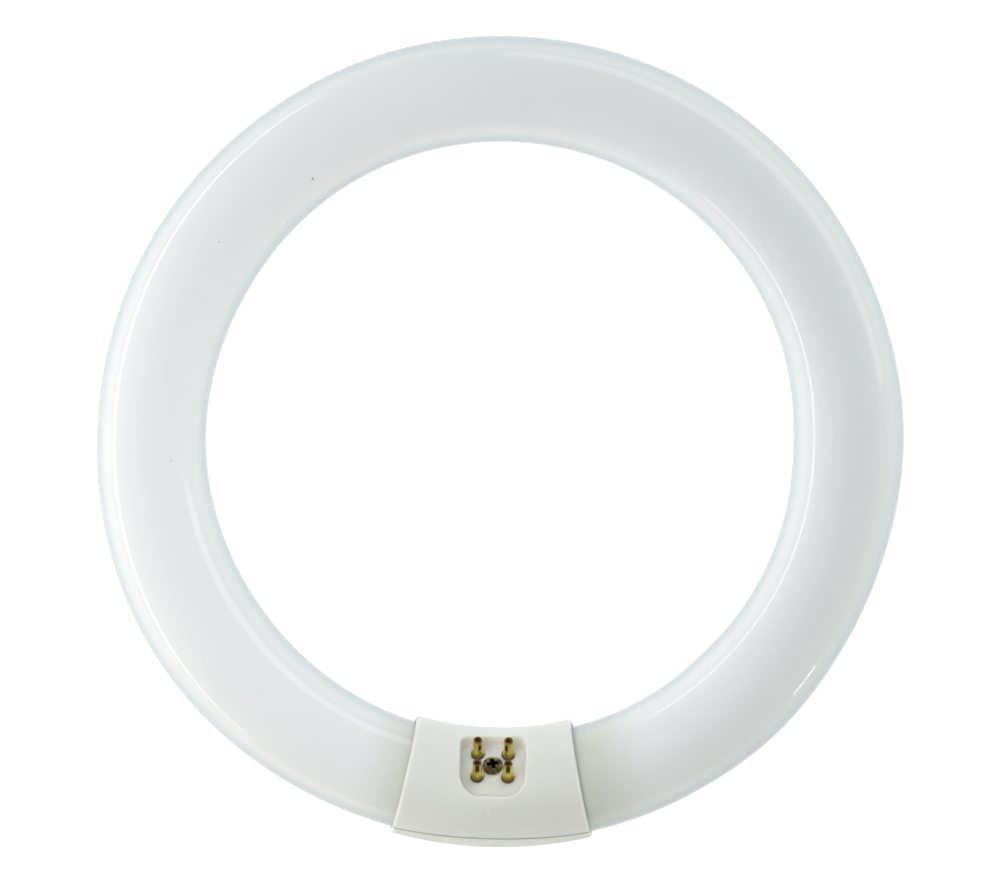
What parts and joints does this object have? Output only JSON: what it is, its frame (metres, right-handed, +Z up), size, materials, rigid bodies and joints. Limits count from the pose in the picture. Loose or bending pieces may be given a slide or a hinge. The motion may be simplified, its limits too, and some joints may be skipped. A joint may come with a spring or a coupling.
{
  "type": "circular fluorescent tube",
  "caption": "Circular fluorescent tube: a white glass ring closed by a two-part plastic cap, with a recess that holds hollow contact pins round a clamp screw.",
  "frame": {"origin": "middle of the ring on the plane that the lamp lies on", "axes": "+Z up along the axis of the ring, with the pins on top; -Y from the middle of the ring to the cap; +X to the right seen from above"},
  "size_m": [0.2126, 0.2138, 0.0325],
  "materials": {
    "coated_glass": "glossy, white coating inside",
    "cap_plastic": "semi-gloss ivory",
    "pin_brass": "drawn, tarnished at the tips",
    "screw_plating": "yellow zinc plating",
    "lead_copper": "bare copper wire"
  },
  "bodies": {
    "root": {"glass_tube": "coated_glass", "front_cap_shell": "cap_plastic", "back_cap_shell": "cap_plastic", "clamp_screw": "screw_plating", "contact_pin_inner_left": "pin_brass", "contact_pin_inner_right": "pin_brass", "contact_pin_outer_left": "pin_brass", "contact_pin_outer_right": "pin_brass", "lead_wire_inner_left": "lead_copper", "lead_wire_inner_right": "lead_copper", "lead_wire_outer_left": "lead_copper", "lead_wire_outer_right": "lead_copper"}
  },
  "joints": []
}
